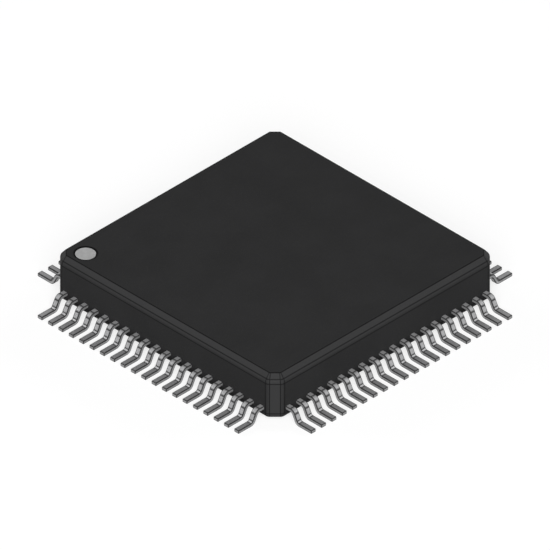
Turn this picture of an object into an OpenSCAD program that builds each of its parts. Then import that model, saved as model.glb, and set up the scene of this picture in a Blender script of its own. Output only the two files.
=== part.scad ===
// Quad flat microcontroller: a moulded square body with a row of gull-wing leads on each side, and the lead
// frame, die and bond wires that it encloses. Millimetres. The origin is the centre of the seating plane, +Z up.
// Pin one is at the -X +Y corner, and pins count anticlockwise seen from above.

/* [Lead rows] */
// Leads on each side
lead_count = 20; // [8:1:26]
// Distance between neighbouring leads
lead_pitch = 0.65; // [0.5:0.01:0.8]
// From the centre of a row's last lead to the outside of the next wall
row_margin = 0.825; // [0.75:0.005:1.5]

/* [Body] */
// Height of the moulding, underside to top face
body_height = 2.27; // [1.8:0.01:3.6]
// Gap between the seating plane and the underside
standoff = 0.18; // [0.05:0.01:0.5]
// Length taken off each wall where a corner is cut
corner_cut = 0.5; // [0.3:0.01:0.6]
// Length of the same cut at the edge of the top face
corner_cut_top = 0.33; // [0.25:0.01:0.5]
// Radius of the upright edges on both sides of a corner cut
corner_round = 0.25; // [0.05:0.01:0.4]
// Radius of the same edges at the edge of the top face
corner_round_top = 0.05; // [0.02:0.01:0.2]

/* [Body edges] */
// Height of the rounded edge under the walls
foot_edge_height = 0.21; // [0.1:0.01:0.3]
// How far that edge draws in
foot_edge_inset = 0.06; // [0.02:0.01:0.09]
// Height of the rounded edge above the walls
crown_edge_height = 0.21; // [0.1:0.01:0.35]
// How far that edge draws in
crown_edge_inset = 0.075; // [0.02:0.005:0.09]
// Height of the flat bevel between that edge and the top face
bevel_height = 0.24; // [0.1:0.01:0.4]
// How far the bevel draws in
bevel_inset = 0.2; // [0.1:0.01:0.4]

/* [Pin-one dot] */
// Diameter of the round recess in the top face
dot_diameter = 1.05; // [0.5:0.05:1.5]
// Depth of that recess
dot_recess = 0.05; // [0.05:0.01:0.2]
// Thickness of the ink on the floor of the recess
dot_ink = 0.03; // [0.01:0.01:0.04]
// Bare ring of floor between the ink and the wall of the recess
ink_margin = 0.06; // [0.01:0.01:0.1]
// From the dot's centre to the wall on the pin-one side
dot_from_pins = 0.985; // [0.9:0.005:2.5]
// From the dot's centre to the wall at the end of that side
dot_from_end = 1.12; // [0.9:0.01:2.5]

/* [Ejector marks] */
// Diameter of the round marks on the underside
ejector_diameter = 1.2; // [0.6:0.1:2]
// Depth of a mark
ejector_depth = 0.05; // [0.02:0.01:0.1]
// From a mark's centre to the two nearest walls
ejector_from_wall = 2.4; // [1.5:0.1:4]

/* [Leads] */
// Width of a lead
lead_width = 0.28; // [0.2:0.01:0.36]
// Thickness of the lead frame
lead_thickness = 0.17; // [0.1:0.01:0.23]
// Height of a lead's exit, from the underside of the body to the underside of the lead
lead_exit = 0.36; // [0.3:0.01:1]
// Straight shoulder between the wall and the upper bend
shoulder_length = 0.27; // [0.1:0.01:0.6]
// Inside radius of the upper bend
upper_bend = 0.14; // [0.06:0.01:0.2]
// Slope of the shank, from the seating plane
shank_angle = 63; // [45:1:85]
// Inside radius of the lower bend
lower_bend = 0.1; // [0.06:0.01:0.2]
// Flat length of the foot
foot_length = 0.8; // [0.4:0.01:1.2]

/* [Lead frame inside] */
// Width of the square paddle under the die
paddle_width = 6.4; // [5.6:0.1:7.6]
// How far the paddle is set down from the plane of the leads
paddle_downset = 0.15; // [0.05:0.01:0.2]
// Width of the tie bar at each corner of the paddle
tie_bar_width = 0.3; // [0.15:0.01:0.36]
// Gap between a tie bar and the finger next to it, at the finger's tip
tie_bar_gap = 0.15; // [0.1:0.01:0.3]
// Length over which a tie bar bends down to the paddle
tie_bar_joggle = 0.4; // [0.2:0.05:0.8]
// Moulding left over the outer end of a tie bar
tie_bar_cover = 0.25; // [0.1:0.01:0.5]
// Gap between the paddle and the fingers
finger_gap = 0.35; // [0.2:0.01:0.6]
// Width of a finger at its tip
finger_tip_width = 0.18; // [0.12:0.01:0.2]
// Straight length of a finger inside the wall, before it fans in
finger_root = 0.2; // [0.1:0.01:0.3]

/* [Die and wires] */
// Width of the square die
die_width = 5; // [4:0.1:5.4]
// Thickness of the die
die_thickness = 0.35; // [0.2:0.01:0.5]
// Thickness of the adhesive under the die
attach_thickness = 0.03; // [0.01:0.01:0.06]
// How far the adhesive spreads past the die
attach_spread = 0.1; // [0.02:0.01:0.3]
// From the centre of a bond pad to the nearest edge of the die
pad_from_edge = 0.12; // [0.08:0.01:0.3]
// From the centre of a row's last pad to the next edge of the die
pad_from_corner = 0.4; // [0.2:0.01:0.8]
// Diameter of the ball that bonds a wire to its pad
ball_diameter = 0.08; // [0.06:0.005:0.1]
// Height of that ball
ball_height = 0.02; // [0.01:0.005:0.03]
// Diameter of a bond wire
wire_diameter = 0.03; // [0.02:0.005:0.04]
// Rise of a wire's loop above the straight line between its ends
loop_height = 0.2; // [0.12:0.01:0.4]
// From the tip of a finger to the bond on it
stitch_from_tip = 0.25; // [0.15:0.01:0.6]

/* [Hidden] */

// Flat steps along each rounded upright edge and each rounded rim of the body
corner_steps = 5;
rim_steps = 5;
// Sides of a round shape, and of a bond wire
round_sides = 64;
wire_sides = 6;
// Extra height of a cutter where it leaves a face
past = 0.1;

// Turn about +Z that takes the +X side to each other side
RIGHT = 0;
REAR = 90;
LEFT = 180;
FRONT = 270;
SIDES = [RIGHT, REAR, LEFT, FRONT];

MOULD_BLACK = [0.18, 0.18, 0.19];
INK_GREY = [0.62, 0.62, 0.62];
TIN = [0.74, 0.74, 0.75];
COPPER = [0.72, 0.45, 0.3];
ADHESIVE = [0.6, 0.6, 0.58];
SILICON = [0.32, 0.33, 0.42];
GOLD = [0.85, 0.66, 0.28];

// Plan
body_width = (lead_count - 1) * lead_pitch + 2 * row_margin;
wall = body_width / 2;
shoulder_end = wall + shoulder_length;
root_end = wall - finger_root;
tip_line = paddle_width / 2 + finger_gap;
tip_row = 2 * (tip_line - sqrt(2) * (tie_bar_width / 2 + tie_bar_gap)) - finger_tip_width;
tip_pitch = tip_row / (lead_count - 1);
pad_pitch = (die_width - 2 * pad_from_corner) / (lead_count - 1);

// Heights above the seating plane
body_top = standoff + body_height;
lead_floor = standoff + lead_exit;
lead_top = lead_floor + lead_thickness;
paddle_floor = lead_floor - paddle_downset;
paddle_top = paddle_floor + lead_thickness;
die_floor = paddle_top + attach_thickness;
die_top = die_floor + die_thickness;
dot_floor = body_top - dot_recess;

// Shank of a lead, worked out from its rise between the two bends
upper_outer = upper_bend + lead_thickness;
lower_outer = lower_bend + lead_thickness;
shank_rise = lead_floor - (upper_outer + lower_bend) * (1 - cos(shank_angle));
shank_run = shank_rise / tan(shank_angle);
upper_centre = [shoulder_end, lead_floor - upper_bend];
lower_centre = upper_centre
    + [(upper_outer + lower_bend) * sin(shank_angle) + shank_run,
       lower_bend + lead_thickness - upper_centre[1]];
lead_end = lower_centre[0] + foot_length;

// Place of a lead, finger tip or bond pad along its row
function along_row(i, pitch) = (i - (lead_count - 1) / 2) * pitch;

function arc(centre, radius, from, to, steps) = [
    for (s = [0 : steps])
        let (a = from + (to - from) * s / steps)
            centre + radius * [cos(a), sin(a)]
];

// Inset of a rim that rounds off a wall over a height, at a distance from where it leaves the wall
function rim_inset(distance, height, inset) =
    let (radius = (height * height + inset * inset) / (2 * inset))
        radius - sqrt(radius * radius - distance * distance);

// Share of the way from the full outline to the outline of the top face
function drawn_in(inset) = inset / (crown_edge_inset + bevel_inset);

function blend(from, to, share) = from + (to - from) * share;

// Outline of the body at an inset from its walls: a square with cut and rounded corners
function outline(inset, z) =
    let (
        half = wall - inset,
        cut = blend(corner_cut, corner_cut_top, drawn_in(inset)),
        radius = blend(corner_round, corner_round_top, drawn_in(inset)),
        near = half - radius,
        far = half - cut - radius * tan(22.5),
        corner = concat(
            arc([near, far], radius, 0, 45, corner_steps),
            arc([far, near], radius, 45, 90, corner_steps)
        )
    ) [
        for (turn = SIDES, p = corner)
            [p[0] * cos(turn) - p[1] * sin(turn), p[0] * sin(turn) + p[1] * cos(turn), z]
    ];

// Solid through a list of rings that each have the same number of points
module loft(rings) {
    count = len(rings[0]);
    last = (len(rings) - 1) * count;
    polyhedron(
        points = [for (ring = rings, p = ring) p],
        faces = concat(
            [[for (k = [0 : count - 1]) k]],
            [for (r = [0 : count : last - count], k = [0 : count - 1])
                let (n = (k + 1) % count)
                    each [[r + k, r + count + k, r + count + n], [r + k, r + count + n, r + n]]],
            [[for (k = [count - 1 : -1 : 0]) last + k]]
        )
    );
}

module moulding() {
    wall_floor = standoff + foot_edge_height;
    wall_top = body_top - bevel_height - crown_edge_height;
    foot_rim = [
        for (s = [rim_steps : -1 : 0])
            let (d = foot_edge_height * s / rim_steps)
                outline(rim_inset(d, foot_edge_height, foot_edge_inset), wall_floor - d)
    ];
    crown_rim = [
        for (s = [0 : rim_steps])
            let (d = crown_edge_height * s / rim_steps)
                outline(rim_inset(d, crown_edge_height, crown_edge_inset), wall_top + d)
    ];
    loft(concat(foot_rim, crown_rim, [outline(crown_edge_inset + bevel_inset, body_top)]));
}

module at_dot() {
    translate([dot_from_pins - wall, wall - dot_from_end, dot_floor]) children();
}

module at_ejector_marks() {
    for (turn = SIDES)
        rotate(turn)
            translate([wall - ejector_from_wall, wall - ejector_from_wall, standoff])
                children();
}

module package_body() {
    color(MOULD_BLACK)
        difference() {
            moulding();
            at_dot() cylinder(d = dot_diameter, h = dot_recess + past, $fn = round_sides);
            at_ejector_marks()
                translate([0, 0, -past])
                    cylinder(d = ejector_diameter, h = ejector_depth + past, $fn = round_sides);
            for (turn = SIDES)
                rotate(turn) lead_blanks();
            paddle_and_ties();
            attach_layer();
            die_block();
            for (turn = SIDES)
                rotate(turn) bond_wires();
        }
}

module pin_one_dot() {
    color(INK_GREY)
        at_dot() cylinder(d = dot_diameter - 2 * ink_margin, h = dot_ink, $fn = round_sides);
}

// Flat part of a lead on the +X side: the finger that fans in, its root in the wall and the shoulder outside
module lead_blank(i) {
    y = along_row(i, lead_pitch);
    tip_y = along_row(i, tip_pitch);
    half = lead_width / 2;
    half_tip = finger_tip_width / 2;
    translate([0, 0, lead_floor])
        linear_extrude(lead_thickness)
            polygon([
                [tip_line, tip_y - half_tip],
                [root_end, y - half],
                [shoulder_end, y - half],
                [shoulder_end, y + half],
                [root_end, y + half],
                [tip_line, tip_y + half_tip]
            ]);
}

module lead_blanks() {
    for (i = [0 : lead_count - 1])
        lead_blank(i);
}

// Side view of a bend: the part of a ring between two directions from its centre
module bend(centre, inside, from, to) {
    outside = inside + lead_thickness;
    reach = 2 * outside;
    translate(centre)
        intersection() {
            difference() {
                circle(outside, $fn = round_sides);
                circle(inside, $fn = round_sides);
            }
            polygon([[0, 0], reach * [cos(from), sin(from)], reach * [cos(to), sin(to)]]);
        }
}

// Side view of the formed part of a lead on the +X side: upper bend, shank, lower bend and foot
module lead_side_view() {
    outward = [sin(shank_angle), cos(shank_angle)];
    bend(upper_centre, upper_bend, 90 - shank_angle, 90);
    polygon([
        upper_centre + upper_outer * outward,
        upper_centre + upper_bend * outward,
        lower_centre - lower_outer * outward,
        lower_centre - lower_bend * outward
    ]);
    bend(lower_centre, lower_bend, 270 - shank_angle, 270);
    translate([lower_centre[0], 0])
        square([foot_length, lead_thickness]);
}

// Formed part of a lead on the +X side, at its place in the row
module lead_form(i) {
    translate([0, along_row(i, lead_pitch) + lead_width / 2, 0])
        rotate([90, 0, 0])
            linear_extrude(lead_width)
                lead_side_view();
}

module lead_row(turn) {
    color(TIN)
        rotate(turn)
            for (i = [0 : lead_count - 1])
                union() {
                    lead_blank(i);
                    lead_form(i);
                }
}

module left_leads() { lead_row(LEFT); }

module front_leads() { lead_row(FRONT); }

module right_leads() { lead_row(RIGHT); }

module rear_leads() { lead_row(REAR); }

// Side view of a tie bar along its diagonal: it leaves the paddle, bends up and runs out to the corner
module tie_bar() {
    start = paddle_width / sqrt(2) - tie_bar_width;
    rise_start = paddle_width / sqrt(2);
    rise_end = rise_start + tie_bar_joggle;
    end = (body_width - corner_cut) / sqrt(2) - tie_bar_cover;
    path = [[start, paddle_floor], [rise_start, paddle_floor], [rise_end, lead_floor], [end, lead_floor]];
    upper = [for (k = [len(path) - 1 : -1 : 0]) path[k] + [0, lead_thickness]];
    translate([0, tie_bar_width / 2, 0])
        rotate([90, 0, 0])
            linear_extrude(tie_bar_width)
                polygon(concat(path, upper));
}

module paddle_and_ties() {
    translate([-paddle_width / 2, -paddle_width / 2, paddle_floor])
        cube([paddle_width, paddle_width, lead_thickness]);
    for (turn = SIDES)
        rotate(turn + 45) tie_bar();
}

module die_paddle() {
    color(COPPER) paddle_and_ties();
}

module attach_layer() {
    width = die_width + 2 * attach_spread;
    translate([-width / 2, -width / 2, paddle_top])
        cube([width, width, attach_thickness]);
}

module die_attach() {
    color(ADHESIVE) attach_layer();
}

module die_block() {
    translate([-die_width / 2, -die_width / 2, die_floor])
        cube([die_width, die_width, die_thickness]);
}

module silicon_die() {
    color(SILICON) die_block();
}

// One bond wire on the +X side: a ball on the pad, a loop, and a stitch lying flat on the finger.
// The loop is drawn in the upright plane through both bonds, as shares of its span and of its height.
module bond_wire(i) {
    pad = [die_width / 2 - pad_from_edge, along_row(i, pad_pitch)];
    finger_share = stitch_from_tip / (root_end - tip_line);
    stitch = [
        tip_line + stitch_from_tip,
        blend(along_row(i, tip_pitch), along_row(i, lead_pitch), finger_share)
    ];
    span = norm(stitch - pad);
    forward = (stitch - pad) / span;
    sideways = [forward[1], -forward[0], 0];
    ball_middle = die_top + ball_height / 2;
    shape = [[0, 0], [0, 0.55], [0.05, 0.9], [0.16, 1], [0.6, 0.66], [1, 0]];
    last = len(shape) - 1;
    path = [
        for (p = shape)
            [p[0] * span, blend(ball_middle, lead_top, p[0]) + loop_height * p[1]]
    ];
    rings = [
        for (k = [0 : last])
            let (
                heading = k == 0 ? [0, 1] : k == last ? [0, -1] : path[k + 1] - path[k - 1],
                up = [-heading[1], heading[0]] / norm(heading),
                centre = [pad[0] + forward[0] * path[k][0], pad[1] + forward[1] * path[k][0], path[k][1]],
                across = [forward[0] * up[0], forward[1] * up[0], up[1]]
            ) [
                for (s = [0 : wire_sides - 1])
                    let (a = 360 * s / wire_sides)
                        centre + wire_diameter / 2 * (cos(a) * across + sin(a) * sideways)
            ]
    ];
    loft(rings);
    translate([pad[0], pad[1], die_top])
        cylinder(d = ball_diameter, h = ball_height, $fn = round_sides);
}

module bond_wires() {
    for (i = [0 : lead_count - 1])
        union() bond_wire(i);
}

module wire_row(turn) {
    color(GOLD) rotate(turn) bond_wires();
}

module left_wires() { wire_row(LEFT); }

module front_wires() { wire_row(FRONT); }

module right_wires() { wire_row(RIGHT); }

module rear_wires() { wire_row(REAR); }

package_body();
pin_one_dot();
left_leads();
front_leads();
right_leads();
rear_leads();
die_paddle();
die_attach();
silicon_die();
left_wires();
front_wires();
right_wires();
rear_wires();
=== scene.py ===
"""Looks of a quad flat microcontroller chip: moulded body, formed leads, pin-one dot and the parts inside.

Sizes are in metres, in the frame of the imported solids. What repeats on the four sides is drawn on the +X side
and turned to each of them.
"""
import math
from collections import namedtuple

import bmesh
import bpy
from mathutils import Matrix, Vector


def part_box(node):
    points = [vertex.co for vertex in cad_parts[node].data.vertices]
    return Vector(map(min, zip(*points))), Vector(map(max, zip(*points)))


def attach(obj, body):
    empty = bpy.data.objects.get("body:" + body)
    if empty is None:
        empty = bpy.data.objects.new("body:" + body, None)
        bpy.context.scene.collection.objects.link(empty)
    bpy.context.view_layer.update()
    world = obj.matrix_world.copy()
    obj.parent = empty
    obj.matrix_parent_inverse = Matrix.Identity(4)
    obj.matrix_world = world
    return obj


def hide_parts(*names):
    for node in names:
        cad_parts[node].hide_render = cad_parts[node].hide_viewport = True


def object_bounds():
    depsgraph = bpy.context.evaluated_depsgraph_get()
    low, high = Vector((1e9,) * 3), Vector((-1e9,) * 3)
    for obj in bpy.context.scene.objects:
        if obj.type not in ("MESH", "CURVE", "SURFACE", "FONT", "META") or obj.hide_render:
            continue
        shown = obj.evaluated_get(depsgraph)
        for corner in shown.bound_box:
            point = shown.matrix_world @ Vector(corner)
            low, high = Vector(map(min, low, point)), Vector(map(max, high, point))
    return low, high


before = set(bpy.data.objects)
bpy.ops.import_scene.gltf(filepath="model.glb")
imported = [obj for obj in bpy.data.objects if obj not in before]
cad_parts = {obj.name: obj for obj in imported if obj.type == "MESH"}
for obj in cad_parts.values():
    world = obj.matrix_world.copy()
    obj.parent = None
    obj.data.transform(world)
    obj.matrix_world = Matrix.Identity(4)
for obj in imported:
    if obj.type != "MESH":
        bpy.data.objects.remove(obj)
cad_low, cad_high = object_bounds()

MM = 0.001
PER_MM = 1 / MM

# Sides of the body, in the order of quarter turns from +X
SIDES = ("right", "rear", "left", "front")

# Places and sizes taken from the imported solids
body_low, body_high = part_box("package_body")
lead_low, lead_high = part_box("right_leads")
dot_low, dot_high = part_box("pin_one_dot")
paddle_low, paddle_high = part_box("die_paddle")
bed_low, bed_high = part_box("die_attach")
die_low, die_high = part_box("silicon_die")
WALL = body_high.x
UNDERSIDE = body_low.z
TOP_FACE = body_high.z
FINGER_TIP = lead_low.x
LEAD_END = lead_high.x
LEAD_TOP = lead_high.z
DOT_CENTRE = (dot_low + dot_high) / 2
INK_RADIUS = (dot_high.x - dot_low.x) / 2
INK_TOP = dot_high.z
RECESS_FLOOR = dot_low.z
PADDLE_FLOOR = paddle_low.z
PADDLE_TOP = bed_low.z
BED_HALF = bed_high.x
DIE_HALF = die_high.x
DIE_FLOOR = die_low.z
DIE_TOP = die_high.z

# Edges of the moulded body. The wall turns by the cut's angle, in degrees, at each side of a cut corner.
CORNER_CUT = 0.5 * MM
CORNER_CUT_TOP = 0.33 * MM
CORNER_CUT_ANGLE = 45
CORNER_ROUND = 0.25 * MM
CORNER_ROUND_TOP = 0.05 * MM
FOOT_EDGE_HEIGHT = 0.21 * MM
FOOT_EDGE_INSET = 0.06 * MM
CROWN_EDGE_HEIGHT = 0.21 * MM
CROWN_EDGE_INSET = 0.075 * MM
BEVEL_HEIGHT = 0.24 * MM
BEVEL_INSET = 0.2 * MM
TOP_INSET = CROWN_EDGE_INSET + BEVEL_INSET
WALL_FLOOR = UNDERSIDE + FOOT_EDGE_HEIGHT
WALL_TOP = TOP_FACE - BEVEL_HEIGHT - CROWN_EDGE_HEIGHT
EDGE_SOFTNESS = 0.03 * MM

# Round recesses of the body
DOT_RECESS_RADIUS = 0.525 * MM
DOT_RECESS_DEPTH = TOP_FACE - RECESS_FLOOR
EJECTOR_RADIUS = 0.6 * MM
EJECTOR_DEPTH = 0.05 * MM
EJECTOR_FROM_WALL = 2.4 * MM
RECESS_SOFTNESS = 0.015 * MM

# Printed dot
INK_SOFTNESS = 0.01 * MM
INK_DIP = 0.005 * MM
INK_MENISCUS = 0.09 * MM

# Paddle and tie bars. The room is what a bar and its gap take up at the end of a row of fingers.
FINGER_GAP = 0.35 * MM
PADDLE_HALF = FINGER_TIP - FINGER_GAP
TIE_BAR_WIDTH = 0.3 * MM
TIE_BAR_GAP = 0.15 * MM
TIE_BAR_ROOM = math.sqrt(2) * (TIE_BAR_WIDTH / 2 + TIE_BAR_GAP)
TIE_BAR_JOGGLE = 0.4 * MM
TIE_BAR_BEND = 0.1 * MM
TIE_BAR_END = paddle_high.x * math.sqrt(2) - TIE_BAR_WIDTH / 2
STAMPED_SOFTNESS = 0.02 * MM

# Leads. Angles are in degrees, and the level tilt is that of a stretch that lies flat.
LEAD_COUNT = 20
LEAD_PITCH = 0.65 * MM
LEAD_WIDTH = 0.28 * MM
LEAD_THICKNESS = 0.17 * MM
SHOULDER_LENGTH = 0.27 * MM
UPPER_BEND = 0.14 * MM
LOWER_BEND = 0.1 * MM
SHANK_ANGLE = 63
LEVEL_TILT = 90
FOOT_LENGTH = 0.8 * MM
FINGER_ROOT = 0.2 * MM
FINGER_TIP_WIDTH = 0.18 * MM
FINGER_PITCH = (2 * (FINGER_TIP - TIE_BAR_ROOM) - FINGER_TIP_WIDTH) / (LEAD_COUNT - 1)
TOP_EDGE_ROUND = 0.03 * MM
LOWER_EDGE_ROUND = 0.022 * MM
TIP_SOFTNESS = 0.02 * MM

# Places in a row of leads, wires or bond pads, as pitches from its middle
ROW_PLACES = [k - (LEAD_COUNT - 1) / 2 for k in range(LEAD_COUNT)]

# Die and the adhesive that it is bedded in
DIE_CORNER = 0.01 * MM
DIE_SOFTNESS = 0.008 * MM
BED_CORNER = 0.1 * MM
BED_CLIMB = 0.09 * MM
PAD_WIDTH = 0.1 * MM
PAD_DEPTH = 0.002 * MM
PAD_FROM_EDGE = 0.12 * MM
PAD_FROM_CORNER = 0.4 * MM
PAD_PITCH = 2 * (DIE_HALF - PAD_FROM_CORNER) / (LEAD_COUNT - 1)

# Bond wires. The shape of the loop is given as shares of its span and of its height.
BALL_DIAMETER = 0.08 * MM
BALL_HEIGHT = 0.02 * MM
NECK_HEIGHT = 0.015 * MM
WIRE_DIAMETER = 0.03 * MM
LOOP_HEIGHT = 0.2 * MM
LOOP_SHAPE = ((0, 0.55), (0.05, 0.9), (0.16, 1), (0.6, 0.66))
STITCH_FROM_TIP = 0.25 * MM
STITCH_LENGTH = 0.08 * MM
STITCH_WIDTH = 0.055 * MM
STITCH_THICKNESS = 0.006 * MM

# How far the bevel is painted paler, as a highlight where it catches the light, where the cut corners count as
# 1
BEVEL_HIGHLIGHT = 0.75

# How far a lead is burnished by forming, where its lower bend counts as 1. The same share paints it lighter:
# a painted highlight on the bends and shank, and on the shoulder painted light that lifts the shade beside the
# body
SHOULDER_BURNISH_AND_LIGHT = 0.6
SHANK_BURNISH_AND_LIGHT = 0.4

# Distances over which dark lines fade out beside them: those between two faces of the body, those along the
# edges of a lead, and those painted across it at both ends of a bend
LINE_FADE = 0.045 * MM
EDGE_FADE = 0.025 * MM
BEND_LINE_FADE = 0.045 * MM

# How far a line across a lead reaches from the end of its bend before it fades
BEND_LINE_WIDTH = 0.025 * MM

# Fineness of the meshes
CORNER_STEPS = 6
RIM_STEPS = 6
SOFT_STEPS = 4
RECESS_STEPS = 96
BEND_STEPS = 12
BEND_FADE_STEPS = 3
SECTION_STEPS = 4
WIRE_SIDES = 10

# An edge between two faces that turns by more than this many degrees isn't a step of a rounded one
SHARP_ANGLE = 40

# Weight of large faces in the shading of the meshes, which keeps them flat beside soft edges
FLAT_FACE_WEIGHT = 100

# Points of a cut corner: on each side of the cut an arc, with a point before and after it
CORNER_POINTS = 2 * (CORNER_STEPS + 3)

# Camera: an isometric view, with the frame as wide as the photograph's
VIEW_DIRECTION = Vector((-1, -1, 1)).normalized()
VIEW_TARGET = Vector((0, 0, 1.2 * MM))
VIEW_DISTANCE = 0.3
CLIP_START = 0.003
CLIP_END = 3.0
FRAME_PIXELS = 550
PIXELS_PER_MM = 22.518
FRAME_WIDTH = FRAME_PIXELS / PIXELS_PER_MM * MM

# Studio
FLOOR_SIZE = 1.2
FLOOR_GAP = 0.001 * MM
FLOOR_GREY = 0.3
FLOOR_GLOW = 0.74
SURROUND_LEVEL = 0.06
LAMP_DISTANCE = 0.6
LAMP_WIDTH = 0.45
FRONT_LAMP_LEVEL = 1.35
SIDE_LAMP_LEVEL = 0.8


# Shader trees


class Signal:
    """The output of a shader node. Arithmetic on it adds Math nodes to its tree."""

    def __init__(self, tree, socket):
        self.tree = tree
        self.socket = socket

    def math(self, operation, first, second):
        return self.tree.node("ShaderNodeMath", {"operation": operation}, {0: first, 1: second})

    def __add__(self, other):
        return self.math("ADD", self, other)

    def __radd__(self, other):
        return self.math("ADD", other, self)

    def __sub__(self, other):
        return self.math("SUBTRACT", self, other)

    def __rsub__(self, other):
        return self.math("SUBTRACT", other, self)

    def __mul__(self, other):
        return self.math("MULTIPLY", self, other)

    def __rmul__(self, other):
        return self.math("MULTIPLY", other, self)


class ShaderTree:
    """The nodes of one material, or of the world."""

    def __init__(self, owner):
        owner.use_nodes = True
        self.nodes = owner.node_tree.nodes
        self.links = owner.node_tree.links
        self.nodes.clear()

    def node(self, kind, settings, values, output=0):
        """Adds a node, applies its settings, feeds its sockets and gives back one of its outputs."""
        made = self.nodes.new(kind)
        for name, value in settings.items():
            setattr(made, name, value)
        for name, value in values.items():
            if isinstance(value, Signal):
                self.links.new(value.socket, made.inputs[name])
            else:
                made.inputs[name].default_value = value
        if made.outputs:
            return Signal(self, made.outputs[output])
        return None

    def place(self):
        """Coordinates on the part, in millimetres."""
        metres = self.node("ShaderNodeTexCoord", {}, {}, "Object")
        return self.node("ShaderNodeVectorMath", {"operation": "SCALE"}, {0: metres, "Scale": PER_MM})

    def marked(self, name):
        """How far the mesh is marked with an attribute, from 0 to 1."""
        return self.node("ShaderNodeAttribute", {"attribute_name": name}, {}, "Fac")

    def noise(self, place, per_mm, detail=2.0):
        return self.node("ShaderNodeTexNoise", {}, {"Vector": place, "Scale": per_mm, "Detail": detail})

    def cells(self, place, per_mm):
        return self.node("ShaderNodeTexVoronoi", {}, {"Vector": place, "Scale": per_mm}, "Distance")

    def ramp(self, factor, low, high):
        """A smooth rise from 0 to 1 while the factor goes from low to high."""
        values = {"Value": factor, "From Min": low, "From Max": high}
        return self.node("ShaderNodeMapRange", {"interpolation_type": "SMOOTHSTEP"}, values)

    def mix(self, factor, first, second):
        """A colour between two others. The node's colour sockets share their names, so they go by number."""
        return self.node("ShaderNodeMix", {"data_type": "RGBA"}, {0: factor, 6: first, 7: second}, 2)

    def mottle(self, noise, first, second):
        """Soft patches of two colours."""
        return self.mix(self.ramp(noise, low=0.3, high=0.7), first, second)

    def bump(self, height, depth, over=None):
        """The normal of a relief whose height runs from 0 to 1 over a depth, on a plain or rough surface."""
        values = {"Height": height, "Distance": depth, "Strength": 1.0}
        if over is not None:
            values["Normal"] = over
        return self.node("ShaderNodeBump", {}, values)

    def principled(self, values):
        surface = self.node("ShaderNodeBsdfPrincipled", {}, values)
        self.node("ShaderNodeOutputMaterial", {}, {"Surface": surface})


def grey(level, tint=0.0):
    """A grey whose blue is raised a little by the tint."""
    return (level, level, level * (1 + tint), 1.0)


def new_finish(name):
    material = bpy.data.materials.new(name)
    return material, ShaderTree(material)


# Finishes


def mould_compound():
    """Black moulding compound, with the fine grain of a blasted mould, faint flow marks and specks of filler.

    Recesses, edges and the lines between two faces, where the mould was polished, are smoother and darker: dark
    lines along the edges and between faces, and painted shade in the recesses.
    The bevel and the cut corners are painted paler, as a highlight where they catch the light.
    """
    material, tree = new_finish("mould_compound")
    place = tree.place()
    rubbed = tree.marked("rubbed")
    polished = tree.marked("polished")
    blasted = 1 - polished
    flow = tree.noise(place, per_mm=0.45, detail=4.0)
    grain = tree.noise(place, per_mm=24.0, detail=3.0)
    pores = tree.ramp(tree.cells(place, per_mm=9.0), low=0.05, high=0.3)
    specks = tree.ramp(tree.cells(place, per_mm=13.0), low=0.16, high=0.08)
    black = tree.mottle(flow, grey(0.0228, tint=0.02), grey(0.0256, tint=0.02))
    # Paler black: a painted highlight on the bevel and cut corners
    highlight_black = grey(0.0385, tint=0.02)
    # Near black for the dark lines along edges and for the painted shade in the recesses
    shade_and_line_black = grey(0.003, tint=0.02)
    filler = grey(0.08)
    highlit = tree.mix(rubbed, black, highlight_black)
    lined = tree.mix(polished * 0.9, highlit, shade_and_line_black)
    speckled = tree.mix(specks * blasted * 0.35, lined, filler)
    rough = tree.bump(grain * blasted, depth=0.006 * MM)
    tree.principled({
        "Base Color": speckled,
        "Roughness": 0.56 + grain * 0.2 - rubbed * 0.06 - polished * 0.12,
        "Specular IOR Level": 0.025,
        "Normal": tree.bump(pores, depth=0.002 * MM, over=rough),
    })
    return material


def marking_ink():
    """Matt pale ink with a slightly mottled film, its side and lower edge painted near-black as the shade in
    the recess round it.
    """
    material, tree = new_finish("marking_ink")
    place = tree.place()
    film = tree.noise(place, per_mm=5.0, detail=3.0)
    grain = tree.noise(place, per_mm=40.0)
    pale = tree.mottle(film, grey(0.325), grey(0.37))
    # Painted shade: near-black, darker than the compound itself, on the ink's side and lower edge
    compound = grey(0.01)
    tree.principled({
        "Base Color": tree.mix(tree.marked("thin"), pale, compound),
        "Roughness": 0.5 + grain * 0.2,
        "Specular IOR Level": 0.3,
        "Normal": tree.bump(grain, depth=0.003 * MM),
    })
    return material


def tin_plate():
    """Matt tin plating of fine crystals, smoother and painted lighter, as a highlight, where it was formed, and
    rougher where it was sheared.

    It is painted darker along its edges and on lines across both ends of each bend.
    """
    material, tree = new_finish("tin_plate")
    place = tree.place()
    formed = tree.marked("formed")
    sheared = tree.marked("sheared")
    tarnished = tree.marked("tarnished")
    clouds = tree.noise(place, per_mm=1.7, detail=4.0)
    crystals = tree.cells(place, per_mm=45.0)
    grain = tree.noise(place, per_mm=60.0)
    tin = tree.mottle(clouds, grey(0.24, tint=0.015), grey(0.275, tint=0.015))
    painted_bright_tin = grey(0.43, tint=0.015)
    cut_metal = grey(0.29, tint=0.01)
    # Near black, painted along the lead's edges and on lines across the ends of its bends
    dark_grey = grey(0.02, tint=0.01)
    # Painted light: lighter where formed, as the highlight on the bends and shank and as light lifting the
    # shade on the shoulder beside the body
    highlit_tin = tree.mix(formed, tin, painted_bright_tin)
    trimmed = tree.mix(sheared * 0.5, highlit_tin, cut_metal)
    tree.principled({
        "Base Color": tree.mix(tarnished * 0.95, trimmed, dark_grey),
        "Metallic": 0.45 - tarnished * 0.4,
        "Roughness": 0.36 + grain * 0.14 + sheared * 0.08 - formed * 0.1 + tarnished * 0.3,
        "Specular IOR Level": 0.1,
        "Normal": tree.bump(crystals, depth=0.002 * MM, over=tree.bump(grain, depth=0.003 * MM)),
    })
    return material


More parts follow.
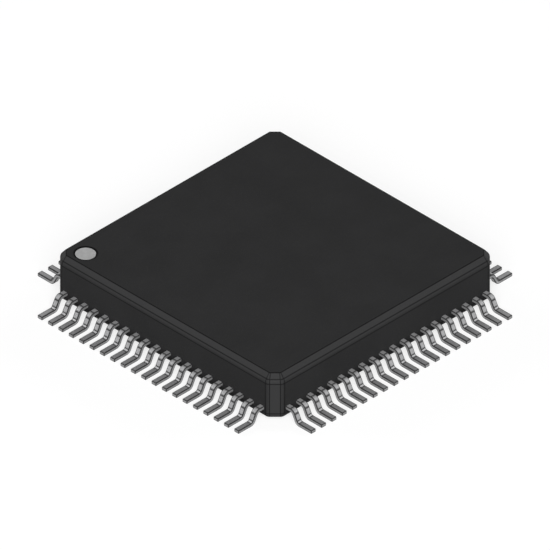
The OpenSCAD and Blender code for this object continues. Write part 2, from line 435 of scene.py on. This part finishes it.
def copper_alloy():
    """Bare rolled copper alloy, with faint rolling lines along one direction."""
    material, tree = new_finish("copper_alloy")
    place = tree.place()
    rolling = (1.0, 12.0, 12.0)
    rolled = tree.node("ShaderNodeVectorMath", {"operation": "MULTIPLY"}, {0: place, 1: rolling})
    lines = tree.noise(rolled, per_mm=1.5, detail=3.0)
    stain = tree.noise(place, per_mm=0.8, detail=3.0)
    bright_copper = (0.72, 0.4, 0.26, 1.0)
    dull_copper = (0.6, 0.31, 0.19, 1.0)
    tree.principled({
        "Base Color": tree.mottle(stain, bright_copper, dull_copper),
        "Metallic": 1.0,
        "Roughness": 0.26 + lines * 0.16,
        "Normal": tree.bump(lines, depth=0.002 * MM),
    })
    return material


def silver_adhesive():
    """Cured adhesive, grey with silver flakes."""
    material, tree = new_finish("silver_adhesive")
    flakes = tree.cells(tree.place(), per_mm=30.0)
    edges = tree.ramp(flakes, low=0.1, high=0.5)
    silver = (0.62, 0.62, 0.6, 1.0)
    resin = (0.42, 0.42, 0.4, 1.0)
    tree.principled({
        "Base Color": tree.mix(edges, silver, resin),
        "Roughness": 0.4 + flakes * 0.3,
        "Normal": tree.bump(flakes, depth=0.003 * MM),
    })
    return material


def polished_silicon():
    """Silicon under a clear film, with the blocks of its circuit showing as changes of tone.

    The film is open over the bond pads, which are bare aluminium.
    """
    material, tree = new_finish("polished_silicon")
    place = tree.place()
    blocks = tree.node(
        "ShaderNodeTexVoronoi",
        {"distance": "CHEBYCHEV"},
        {"Vector": place, "Scale": 1.4, "Randomness": 0.8},
        "Distance",
    )
    tracks = tree.noise(place, per_mm=20.0)
    metal = tree.marked("metal")
    tone = tree.ramp(blocks, low=0.15, high=0.5)
    dark_block = (0.17, 0.18, 0.25, 1.0)
    pale_block = (0.24, 0.25, 0.33, 1.0)
    aluminium = grey(0.78)
    circuit = tree.mix(tone, dark_block, pale_block)
    tree.principled({
        "Base Color": tree.mix(metal, circuit, aluminium),
        "Metallic": 0.6 + metal * 0.4,
        "Roughness": 0.12 + tracks * 0.14 + metal * 0.2,
        "Normal": tree.bump(blocks, depth=0.001 * MM),
    })
    return material


def drawn_gold():
    """Drawn gold wire with faint changes of tone."""
    material, tree = new_finish("drawn_gold")
    lines = tree.noise(tree.place(), per_mm=35.0)
    bright_gold = (0.88, 0.64, 0.24, 1.0)
    deep_gold = (0.8, 0.55, 0.17, 1.0)
    tree.principled({
        "Base Color": tree.mottle(lines, bright_gold, deep_gold),
        "Metallic": 1.0,
        "Roughness": 0.16 + lines * 0.12,
    })
    return material


# Outlines


def between(first, second, share):
    return first + (second - first) * share


def on_circle(centre, radius, angle):
    """The point on a circle at an angle in degrees."""
    turn = math.radians(angle)
    return centre[0] + radius * math.cos(turn), centre[1] + radius * math.sin(turn)


def arc(centre, radius, start, end, steps):
    """Points on an arc between two angles."""
    return [on_circle(centre, radius, between(start, end, step / steps)) for step in range(steps + 1)]


def full_circle(centre, radius):
    return arc(centre, radius, 0, 360, RECESS_STEPS)[:-1]


def soft_corner(before, corner, after):
    """Points on a smooth curve that rounds off a corner between two points on its sides."""
    points = []
    for step in range(SOFT_STEPS + 1):
        share = step / SOFT_STEPS
        start = Vector(before).lerp(Vector(corner), share)
        end = Vector(corner).lerp(Vector(after), share)
        points.append(tuple(start.lerp(end, share)))
    return points


def quarter_turned(point, quarters):
    x, y = point
    for _ in range(quarters):
        x, y = -y, x
    return x, y


def rounded_path(corners):
    """Points on a smooth curve that rounds off each corner of a path between its two ends."""
    halfway = [tuple(Vector(start).lerp(Vector(end), 0.5)) for start, end in zip(corners, corners[1:])]
    joints = [corners[0]] + halfway[1:-1] + [corners[-1]]
    points = [corners[0]]
    for before, corner, after in zip(joints, corners[1:-1], joints[1:]):
        points += soft_corner(before, corner, after)[1:]
    return points


def on_diagonal(along, aside):
    """The point at a distance along the diagonal between +X and +Y, and at another to the left of it."""
    return (along - aside) / math.sqrt(2), (along + aside) / math.sqrt(2)


def square(centre, half):
    x, y = centre
    return [(x - half, y - half), (x + half, y - half), (x + half, y + half), (x - half, y + half)]


def rounded_square(half, radius):
    corner = arc((half - radius, half - radius), radius, 0, 90, CORNER_STEPS)
    return [quarter_turned(point, quarters) for quarters in range(4) for point in corner]


def body_outline(inset):
    """Points round the body at an inset from its walls. The cut corners narrow towards the top face."""
    drawn_in = min(inset / TOP_INSET, 1)
    cut = between(CORNER_CUT, CORNER_CUT_TOP, drawn_in)
    radius = between(CORNER_ROUND, CORNER_ROUND_TOP, drawn_in)
    edge = WALL - inset
    arc_start = edge - cut - radius * math.tan(math.radians(CORNER_CUT_ANGLE / 2))
    curve = arc((edge - radius, arc_start), radius, 0, CORNER_CUT_ANGLE, CORNER_STEPS)
    x, y = curve[-1]
    aside = LINE_FADE / math.sqrt(2)
    half = [(edge, arc_start - LINE_FADE)] + curve + [(x - aside, y + aside)]
    corner = half + [(y, x) for x, y in reversed(half)]
    return [quarter_turned(point, quarters) for quarters in range(4) for point in corner]


def rim_inset(distance, height, inset):
    """Inset of a rounded rim at a distance from where it leaves the wall."""
    radius = (height ** 2 + inset ** 2) / (2 * inset)
    return radius - math.sqrt(radius ** 2 - distance ** 2)


# A level of the body's side. Line is 1 on the dark line along an edge or between two faces.
Level = namedtuple("Level", "inset height line", defaults=(0,))


def edge_levels(before, corner, after):
    """Levels along a soft edge, which is dark between its two ends."""
    points = soft_corner(before, corner, after)
    return [Level(*points[0])] + [Level(*point, line=1) for point in points[1:-1]] + [Level(*points[-1])]


def body_levels():
    """Levels round the body, from the edge of the underside to the edge of the top face."""
    foot = []
    for step in range(RIM_STEPS + 1):
        distance = (FOOT_EDGE_HEIGHT - EDGE_SOFTNESS) * (1 - step / RIM_STEPS)
        inset = rim_inset(distance, FOOT_EDGE_HEIGHT, FOOT_EDGE_INSET)
        foot.append(Level(inset, WALL_FLOOR - distance, line=step == RIM_STEPS))
    crown = []
    for step in range(RIM_STEPS + 1):
        distance = CROWN_EDGE_HEIGHT * step / RIM_STEPS
        inset = rim_inset(distance, CROWN_EDGE_HEIGHT, CROWN_EDGE_INSET)
        crown.append(Level(inset, WALL_TOP + distance, line=step in (0, RIM_STEPS)))
    underside_end = (FOOT_EDGE_INSET + EDGE_SOFTNESS, UNDERSIDE)
    foot_end = (foot[0].inset, foot[0].height)
    bevel_share = LINE_FADE / math.hypot(BEVEL_HEIGHT, BEVEL_INSET)
    bevel_start = (CROWN_EDGE_INSET + BEVEL_INSET * bevel_share, TOP_FACE - BEVEL_HEIGHT * (1 - bevel_share))
    bevel_end = (TOP_INSET - EDGE_SOFTNESS * BEVEL_INSET / BEVEL_HEIGHT, TOP_FACE - EDGE_SOFTNESS)
    top_end = (TOP_INSET + EDGE_SOFTNESS, TOP_FACE)
    return [
        *edge_levels(underside_end, (FOOT_EDGE_INSET, UNDERSIDE), foot_end),
        *foot[1:],
        Level(0, WALL_FLOOR + LINE_FADE),
        Level(0, WALL_TOP - LINE_FADE),
        *crown,
        Level(*bevel_start),
        *edge_levels(bevel_end, (TOP_INSET, TOP_FACE), top_end),
    ]


# Meshes


def new_marks(mesh, names):
    """Adds a layer to the mesh for each mark that its finish reads."""
    marks = namedtuple("Marks", names)
    return marks(*[mesh.verts.layers.float.new(name) for name in marks._fields])


def add_ring(mesh, points, height):
    return [mesh.verts.new((x, y, height)) for x, y in points]


def join_rings(mesh, rings):
    """Adds the faces between each ring and the next."""
    for lower, upper in zip(rings, rings[1:]):
        for k in range(len(lower)):
            n = (k + 1) % len(lower)
            mesh.faces.new((lower[k], lower[n], upper[n], upper[k]))


def join_and_close(mesh, rings):
    """Adds the faces between each ring and the next, and a face at each end."""
    join_rings(mesh, rings)
    mesh.faces.new(rings[0])
    mesh.faces.new(rings[-1])


def fill_flat(mesh, rings):
    """Fills the flat face that the first ring bounds, round the other rings in it."""
    edges = []
    for ring in rings:
        for k in range(len(ring)):
            edges.append(mesh.edges.get((ring[k - 1], ring[k])))
    bmesh.ops.triangle_fill(mesh, use_beauty=True, edges=edges)


def within(share):
    """A share, kept between 0 and 1."""
    return min(max(share, 0), 1)


def finish_piece(mesh, name, material, node):
    """Makes an object of a closed mesh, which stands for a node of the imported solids."""
    bmesh.ops.recalc_face_normals(mesh, faces=mesh.faces)
    for face in mesh.faces:
        face.smooth = True
    for edge in mesh.edges:
        edge.smooth = edge.calc_face_angle() < math.radians(SHARP_ANGLE)
    data = bpy.data.meshes.new(name)
    mesh.to_mesh(data)
    mesh.free()
    data.materials.append(material)
    piece = bpy.data.objects.new(name, data)
    bpy.context.scene.collection.objects.link(piece)
    shading = piece.modifiers.new("flat_faces_stay_flat", "WEIGHTED_NORMAL")
    shading.weight = FLAT_FACE_WEIGHT
    shading.keep_sharp = True
    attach(piece, "root")
    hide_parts(node)


def mark_side(level, ring, marks):
    """Marks a ring of the body where it is on a dark line, and on the bevel and cut corners, with a painted
    highlight.
    """
    on_bevel = BEVEL_HIGHLIGHT * within((level.height - WALL_TOP) / CROWN_EDGE_HEIGHT)
    for count, vertex in enumerate(ring):
        column = count % CORNER_POINTS
        arc_step = min(column, CORNER_POINTS - 1 - column) - 1
        vertex[marks.rubbed] = max(on_bevel, within(arc_step / CORNER_STEPS))
        vertex[marks.polished] = max(level.line, arc_step in (0, CORNER_STEPS))


def add_recess(mesh, marks, centre, radius, face, depth):
    """Adds a round recess in a flat face, with a dark line round its mouth and painted shade over its wall and
    floor. A positive depth goes up.

    Gives back its outermost ring, where the line has faded out.
    """
    soft = math.copysign(RECESS_SOFTNESS, depth)
    floor = face + depth
    line_end = (radius + RECESS_SOFTNESS + LINE_FADE, face)
    mouth = soft_corner((radius + RECESS_SOFTNESS, face), (radius, face), (radius, face + soft))
    foot = soft_corner((radius, floor - soft), (radius, floor), (radius - RECESS_SOFTNESS, floor))
    profile = [line_end] + mouth + foot
    rings = [add_ring(mesh, full_circle(centre, reach), height) for reach, height in profile]
    # From the mouth in, the recess is marked for its dark line and its painted shade
    for ring in rings[1:]:
        for vertex in ring:
            vertex[marks.polished] = 1
    join_rings(mesh, rings)
    mesh.faces.new(rings[-1])
    return rings[0]


def moulded_body(material):
    """The moulding: rings up its edges, the dot's recess on top and four ejector marks below."""
    mesh = bmesh.new()
    marks = new_marks(mesh, "rubbed polished")
    levels = body_levels()
    rings = [add_ring(mesh, body_outline(level.inset), level.height) for level in levels]
    join_rings(mesh, rings)
    for level, ring in zip(levels[1:-1], rings[1:-1]):
        mark_side(level, ring, marks)
    dot_mouth = add_recess(mesh, marks, DOT_CENTRE, DOT_RECESS_RADIUS, TOP_FACE, -DOT_RECESS_DEPTH)
    fill_flat(mesh, [rings[-1], dot_mouth])
    reach = WALL - EJECTOR_FROM_WALL
    ejector_mouths = []
    for quarters in range(4):
        centre = quarter_turned((reach, reach), quarters)
        mouth = add_recess(mesh, marks, centre, EJECTOR_RADIUS, UNDERSIDE, EJECTOR_DEPTH)
        ejector_mouths.append(mouth)
    fill_flat(mesh, [rings[0]] + ejector_mouths)
    finish_piece(mesh, "moulded_body", material, "package_body")


def printed_dot(material):
    """The ink on the floor of the dot's recess: a disc of little thickness whose surface dips towards its
    middle.
    """
    mesh = bmesh.new()
    marks = new_marks(mesh, "thin")
    dip = INK_TOP - INK_DIP
    side = (INK_RADIUS, INK_TOP - INK_SOFTNESS)
    edge = soft_corner(side, (INK_RADIUS, INK_TOP), (INK_RADIUS - INK_SOFTNESS, INK_TOP))
    meniscus = soft_corner(edge[-1], (INK_RADIUS - INK_MENISCUS / 2, dip), (INK_RADIUS - INK_MENISCUS, dip))
    profile = [(INK_RADIUS, RECESS_FLOOR)] + edge + meniscus[1:]
    rings = [add_ring(mesh, full_circle(DOT_CENTRE, radius), height) for radius, height in profile]
    # The side and lower edge of the ink carry its painted shade
    for vertex in rings[0] + rings[1]:
        vertex[marks.thin] = 1
    join_and_close(mesh, rings)
    finish_piece(mesh, "printed_dot", material, "pin_one_dot")


# A place along a lead. Tilt is the angle of its upper side's normal from +X. Fan is 1 at the finger tips,
# which lie closer together, and 0 from the root on. Sealed is 1 inside the moulding, which is never darkened.
# Formed is how far it is burnished and painted lighter, as a painted highlight and as painted light on the
# shoulder.
# Line is 1 where a dark line is painted across the upper and lower sides. Edge is 1 on the edge of the cut tip.
# Shrink tightens the section's rounded edges there, and inset moves them towards its middle.
STATION_FIELDS = "x height tilt width fan sealed formed line edge shrink inset"
STATION_DEFAULTS = (LEVEL_TILT, LEAD_WIDTH, 0, 0, 0, 0, 0, 0, 0)
Station = namedtuple("Station", STATION_FIELDS, defaults=STATION_DEFAULTS)


def bend_stations(centre, radius, start, end, turn, formed):
    """Stations round a bend between two tilts, on the circle at a turn from the tilt."""
    stations = []
    for step in range(BEND_STEPS + 1):
        tilt = between(start, end, step / BEND_STEPS)
        x, height = on_circle(centre, radius, tilt + turn)
        line = within(1 - min(step, BEND_STEPS - step) / BEND_FADE_STEPS)
        stations.append(Station(x, height, tilt, formed=formed, line=line))
    return stations


def line_stations(bend_end, other, formed):
    """Stations from the end of a bend towards another station: where its line ends, and has faded out."""
    stations = []
    for distance, line in ((BEND_LINE_WIDTH, 1), (BEND_LINE_WIDTH + BEND_LINE_FADE, 0)):
        share = distance / math.dist(bend_end[:2], other[:2])
        x = between(bend_end.x, other.x, share)
        height = between(bend_end.height, other.height, share)
        stations.append(Station(x, height, bend_end.tilt, formed=formed, line=line))
    return stations


def tip_stations():
    """Stations round the soft edge of the cut tip, from before its dark edge to the bare middle of the cut."""
    half = LEAD_THICKNESS / 2
    edge_start = LEAD_END - TIP_SOFTNESS
    stations = [Station(edge_start - EDGE_FADE, half)]
    for reach, along in arc((0, 0), TIP_SOFTNESS, 0, 90, SOFT_STEPS):
        stations.append(Station(edge_start + along, half, edge=1, shrink=TIP_SOFTNESS - reach))
    stations.append(Station(LEAD_END, half, shrink=TIP_SOFTNESS, inset=EDGE_FADE))
    return stations


def lead_stations():
    """Stations along the middle of a lead, from the finger's tip to the end of the foot."""
    half = LEAD_THICKNESS / 2
    middle = LEAD_TOP - half
    shoulder_end = WALL + SHOULDER_LENGTH
    foot_start = LEAD_END - FOOT_LENGTH
    upper_centre = (shoulder_end, LEAD_TOP - LEAD_THICKNESS - UPPER_BEND)
    lower_centre = (foot_start, LEAD_THICKNESS + LOWER_BEND)
    tilt = LEVEL_TILT - SHANK_ANGLE
    upper = bend_stations(upper_centre, UPPER_BEND + half, LEVEL_TILT, tilt, turn=0, formed=SHANK_BURNISH_AND_LIGHT)
    lower = bend_stations(lower_centre, LOWER_BEND + half, tilt, LEVEL_TILT, turn=180, formed=1)
    shoulder = Station(WALL - LINE_FADE, middle, formed=SHOULDER_BURNISH_AND_LIGHT)
    tip = tip_stations()
    return [
        Station(FINGER_TIP, middle, width=FINGER_TIP_WIDTH, fan=1, sealed=1),
        Station(WALL - FINGER_ROOT, middle, sealed=1),
        shoulder,
        *reversed(line_stations(upper[0], shoulder, SHOULDER_BURNISH_AND_LIGHT)),
        *upper,
        *line_stations(upper[-1], lower[0], SHANK_BURNISH_AND_LIGHT),
        *reversed(line_stations(lower[0], upper[-1], SHANK_BURNISH_AND_LIGHT)),
        *lower,
        *line_stations(lower[-1], tip[0], 0),
        *tip,
    ]


# A point of a lead's section, sideways and up from its middle. Edge is 1 on the rounded edges, and sheared
# is 1 on the two sides that the stamping tool cut.
SectionPoint = namedtuple("SectionPoint", "sideways up edge sheared")


def lead_section(width, shrink, inset):
    """Points round a lead's section: an arc at each edge, and a point beside it on each of the flat sides."""
    points = []
    for right, up, start in ((1, -1, 270), (1, 1, 0), (-1, 1, 90), (-1, -1, 180)):
        edge_round = TOP_EDGE_ROUND if up > 0 else LOWER_EDGE_ROUND
        drawn_in = edge_round + inset
        centre = (right * (width / 2 - drawn_in), up * (LEAD_THICKNESS / 2 - drawn_in))
        curve = arc(centre, edge_round - shrink, start, start + 90, SECTION_STEPS)
        before = on_circle(curve[0], EDGE_FADE, start - 90)
        after = on_circle(curve[-1], EDGE_FADE, start + 180)
        leaves_sheared_side = right == up
        points.append(SectionPoint(*before, edge=0, sheared=leaves_sheared_side))
        points += [SectionPoint(*point, edge=1, sheared=0) for point in curve]
        points.append(SectionPoint(*after, edge=0, sheared=not leaves_sheared_side))
    return points


def add_section(mesh, marks, station, y, quarters):
    """Adds the ring of a lead's section at a station, turned to its side of the body."""
    along, rise = on_circle((0, 0), 1, station.tilt)
    ring = []
    for point in lead_section(station.width, station.shrink, station.inset):
        plan = quarter_turned((station.x + along * point.up, y + point.sideways), quarters)
        vertex = mesh.verts.new((*plan, station.height + rise * point.up))
        dark = max(point.edge, station.edge, station.line * (1 - point.sheared))
        vertex[marks.formed] = station.formed
        vertex[marks.sheared] = point.sheared
        # Outside the moulding the edges and bend lines are painted dark
        vertex[marks.tarnished] = dark * (1 - station.sealed)
        ring.append(vertex)
    return ring


def lead_row(side, quarters, material):
    """The leads of one side: each a rounded section swept along its finger, shoulder, bends and foot."""
    mesh = bmesh.new()
    marks = new_marks(mesh, "formed sheared tarnished")
    stations = lead_stations()
    for place in ROW_PLACES:
        rings = []
        for station in stations:
            y = place * between(LEAD_PITCH, FINGER_PITCH, station.fan)
            rings.append(add_section(mesh, marks, station, y, quarters))
        join_and_close(mesh, rings)
        for vertex in rings[-1]:
            vertex[marks.sheared] = 1
            vertex[marks.tarnished] = 0
    finish_piece(mesh, f"formed_{side}_leads", material, f"{side}_leads")


def stamped_paddle(material):
    """The paddle and its four tie bars, which step up from its corners to the height of the leads."""
    mesh = bmesh.new()
    thickness = PADDLE_TOP - PADDLE_FLOOR
    lift = paddle_high.z - PADDLE_TOP
    corner = PADDLE_HALF * math.sqrt(2)
    half = TIE_BAR_WIDTH / 2
    step_end = corner + TIE_BAR_JOGGLE
    bend_rise = lift * TIE_BAR_BEND / TIE_BAR_JOGGLE
    lower_bend = soft_corner((corner - TIE_BAR_BEND, 0), (corner, 0), (corner + TIE_BAR_BEND, bend_rise))
    slope_end = (step_end - TIE_BAR_BEND, lift - bend_rise)
    upper_bend = soft_corner(slope_end, (step_end, lift), (step_end + TIE_BAR_BEND, lift))
    course = [(corner - half, 0)] + lower_bend + upper_bend + [(TIE_BAR_END, lift)]
    roots = []
    for quarters in range(4):
        rings = []
        for along, rise in course:
            right = quarter_turned(on_diagonal(along, -half), quarters)
            left = quarter_turned(on_diagonal(along, half), quarters)
            lower = add_ring(mesh, (left, right), PADDLE_FLOOR + rise)
            upper = add_ring(mesh, (right, left), PADDLE_FLOOR + rise + thickness)
            rings.append(lower + upper)
        join_rings(mesh, rings)
        mesh.faces.new(rings[-1])
        roots.append(rings[0])
    mesh.faces.new([vertex for root in roots for vertex in (root[1], root[0])])
    mesh.faces.new([vertex for root in roots for vertex in (root[2], root[3])])
    for root, following in zip(roots, roots[1:] + roots[:1]):
        mesh.faces.new((root[0], following[1], following[2], root[3]))
    bmesh.ops.recalc_face_normals(mesh, faces=mesh.faces)
    edges = [edge for edge in mesh.edges if edge.calc_face_angle_signed() > math.radians(SHARP_ANGLE)]
    rounding = {"offset": STAMPED_SOFTNESS, "segments": SOFT_STEPS, "profile": 0.5}
    bmesh.ops.bevel(mesh, geom=edges, affect="EDGES", **rounding)
    finish_piece(mesh, "stamped_paddle", material, "die_paddle")


def adhesive_bed(material):
    """The adhesive between the paddle and the die, which climbs a little up the die's sides."""
    mesh = bmesh.new()
    climb = soft_corner((BED_HALF, PADDLE_TOP), (DIE_HALF, DIE_FLOOR), (DIE_HALF, DIE_FLOOR + BED_CLIMB))
    rings = []
    for reach, height in climb + [(DIE_HALF, DIE_FLOOR)]:
        radius = between(DIE_CORNER, BED_CORNER, (reach - DIE_HALF) / (BED_HALF - DIE_HALF))
        rings.append(add_ring(mesh, rounded_square(reach, radius), height))
    join_and_close(mesh, rings)
    finish_piece(mesh, "adhesive_bed", material, "die_attach")


def sawn_die(material):
    """The die: sawn sides, a soft upper edge, and a shallow opening of the film over each bond pad."""
    mesh = bmesh.new()
    marks = new_marks(mesh, "metal")
    side = soft_corner((0, DIE_TOP - DIE_SOFTNESS), (0, DIE_TOP), (DIE_SOFTNESS, DIE_TOP))
    rings = []
    for inset, height in [(0, DIE_FLOOR)] + side:
        rings.append(add_ring(mesh, rounded_square(DIE_HALF - inset, DIE_CORNER), height))
    join_rings(mesh, rings)
    mesh.faces.new(rings[0])
    mouths = []
    for quarters in range(4):
        for place in ROW_PLACES:
            centre = quarter_turned((DIE_HALF - PAD_FROM_EDGE, place * PAD_PITCH), quarters)
            opening = square(centre, PAD_WIDTH / 2)
            mouth = add_ring(mesh, opening, DIE_TOP)
            pad = add_ring(mesh, opening, DIE_TOP - PAD_DEPTH)
            join_rings(mesh, [mouth, pad])
            mesh.faces.new(pad)
            for vertex in pad:
                vertex[marks.metal] = 1
            mouths.append(mouth)
    fill_flat(mesh, [rings[-1]] + mouths)
    finish_piece(mesh, "sawn_die", material, "silicon_die")


# A place along a bond wire: its distance from the pad in plan, its height, and half its width and thickness
WirePoint = namedtuple("WirePoint", "along height broad thick")


def wire_points(span):
    """Places along a bond wire: the ball on its pad, the neck, the loop, and the stitch on the finger."""
    half = WIRE_DIAMETER / 2
    rounding = BALL_HEIGHT / 2
    middle = DIE_TOP - PAD_DEPTH + rounding
    neck_floor = middle + rounding
    loop_start = neck_floor + NECK_HEIGHT
    stitch_start = span - STITCH_LENGTH / 2
    ball = arc((BALL_DIAMETER / 2 - rounding, middle), rounding, -90, 90, SECTION_STEPS)
    neck = soft_corner(ball[-1], (half, neck_floor), (half, loop_start))
    corners = [(0, loop_start)]
    for share, rise in LOOP_SHAPE:
        corners.append((share * span, between(middle, LEAD_TOP, share) + LOOP_HEIGHT * rise))
    corners.append((stitch_start, LEAD_TOP + half))
    loop = rounded_path(corners)
    points = [WirePoint(0, height, radius, radius) for radius, height in ball + neck[1:]]
    points += [WirePoint(along, height, half, half) for along, height in loop[1:]]
    for step in range(1, SOFT_STEPS + 1):
        share = step / SOFT_STEPS
        along = stitch_start + STITCH_LENGTH * share
        broad = between(half, STITCH_WIDTH / 2, share)
        thick = between(half, STITCH_THICKNESS / 2, share)
        points.append(WirePoint(along, LEAD_TOP + thick, broad, thick))
    return points


def add_wire(mesh, pad, stitch, quarters):
    """Adds a bond wire between two places in plan, turned to its side of the body."""
    span = math.dist(pad, stitch)
    forward = (Vector(stitch) - Vector(pad)) / span
    sideways = Vector((-forward.y, forward.x))
    points = wire_points(span)
    rings = []
    for before, point, after in zip(points[:1] + points, points, points[1:] + points[-1:]):
        heading = math.atan2(after.height - before.height, after.along - before.along)
        ring = []
        for aside, up in arc((0, 0), 1, 0, 360, WIRE_SIDES)[:-1]:
            along = point.along - up * point.thick * math.sin(heading)
            height = point.height + up * point.thick * math.cos(heading)
            plan = Vector(pad) + forward * along + sideways * aside * point.broad
            ring.append(mesh.verts.new((*quarter_turned(plan, quarters), height)))
        rings.append(ring)
    join_and_close(mesh, rings)


def wire_row(side, quarters, material):
    """The bond wires of one side, each from a pad of the die to the finger of a lead."""
    mesh = bmesh.new()
    share = STITCH_FROM_TIP / (WALL - FINGER_ROOT - FINGER_TIP)
    stitch_pitch = between(FINGER_PITCH, LEAD_PITCH, share)
    for place in ROW_PLACES:
        pad = (DIE_HALF - PAD_FROM_EDGE, place * PAD_PITCH)
        stitch = (FINGER_TIP + STITCH_FROM_TIP, place * stitch_pitch)
        add_wire(mesh, pad, stitch, quarters)
    finish_piece(mesh, f"bonded_{side}_wires", material, f"{side}_wires")


# Studio


def seen_directly(tree):
    """1 for rays from the camera, in reflections and through glass, and 0 for the light on the part."""
    camera = tree.node("ShaderNodeLightPath", {}, {}, "Is Camera Ray")
    glossy = tree.node("ShaderNodeLightPath", {}, {}, "Is Glossy Ray")
    transmission = tree.node("ShaderNodeLightPath", {}, {}, "Is Transmission Ray")
    return tree.ramp(camera + glossy + transmission, low=0.0, high=1.0)


def add_floor():
    """A plain pale floor that is white to the camera and in reflections, and keeps the part's shadow."""
    half = FLOOR_SIZE / 2
    data = bpy.data.meshes.new("floor")
    corners = [(-half, -half, 0), (half, -half, 0), (half, half, 0), (-half, half, 0)]
    data.from_pydata(corners, [], [(0, 1, 2, 3)])
    floor = bpy.data.objects.new("floor", data)
    floor.location.z = cad_low.z - FLOOR_GAP
    bpy.context.scene.collection.objects.link(floor)
    material, tree = new_finish("studio_floor")
    matt = tree.node("ShaderNodeBsdfDiffuse", {}, {"Color": grey(FLOOR_GREY)})
    glow = tree.node("ShaderNodeEmission", {}, {"Color": grey(1.0), "Strength": FLOOR_GLOW})
    white = tree.node("ShaderNodeAddShader", {}, {0: matt, 1: glow})
    surface = tree.node("ShaderNodeMixShader", {}, {0: seen_directly(tree), 1: matt, 2: white})
    tree.node("ShaderNodeOutputMaterial", {}, {"Surface": surface})
    data.materials.append(material)


def light_surround():
    """A white surround, which lights the part evenly at a low level."""
    world = bpy.data.worlds.new("surround")
    bpy.context.scene.world = world
    tree = ShaderTree(world)
    light = tree.node("ShaderNodeBackground", {}, {"Color": grey(1.0), "Strength": SURROUND_LEVEL})
    white = tree.node("ShaderNodeBackground", {}, {"Color": grey(1.0), "Strength": 1.0})
    surface = tree.node("ShaderNodeMixShader", {}, {0: seen_directly(tree), 1: light, 2: white})
    tree.node("ShaderNodeOutputWorld", {}, {"Surface": surface})


def add_softbox(name, direction, level):
    """A square lamp that faces the part. Its level is how bright it makes a white surface turned to it."""
    data = bpy.data.lights.new(name, "AREA")
    data.size = LAMP_WIDTH
    data.energy = level * (math.pi * LAMP_DISTANCE) ** 2
    lamp = bpy.data.objects.new(name, data)
    towards = Vector(direction).normalized()
    lamp.location = VIEW_TARGET + towards * LAMP_DISTANCE
    lamp.rotation_euler = towards.to_track_quat("Z", "Y").to_euler()
    bpy.context.scene.collection.objects.link(lamp)


def add_camera():
    data = bpy.data.cameras.new("camera")
    data.type = "ORTHO"
    data.ortho_scale = FRAME_WIDTH
    data.clip_start = CLIP_START
    data.clip_end = CLIP_END
    camera = bpy.data.objects.new("camera", data)
    camera.location = VIEW_TARGET + VIEW_DIRECTION * VIEW_DISTANCE
    camera.rotation_euler = VIEW_DIRECTION.to_track_quat("Z", "Y").to_euler()
    bpy.context.scene.collection.objects.link(camera)
    bpy.context.scene.camera = camera


# The part, and the studio round it

moulded_body(mould_compound())
printed_dot(marking_ink())

plating = tin_plate()
gold = drawn_gold()
for turn, side in enumerate(SIDES):
    lead_row(side, turn, plating)
    wire_row(side, turn, gold)

stamped_paddle(copper_alloy())
adhesive_bed(silver_adhesive())
sawn_die(polished_silicon())

add_camera()
add_floor()
light_surround()
add_softbox("front_softbox", direction=VIEW_DIRECTION, level=FRONT_LAMP_LEVEL)
add_softbox("right_softbox", direction=(1, -0.3, 0.12), level=SIDE_LAMP_LEVEL)
add_softbox("rear_softbox", direction=(-0.3, 1, 0.12), level=SIDE_LAMP_LEVEL)
bpy.context.scene.view_settings.view_transform = "Standard"
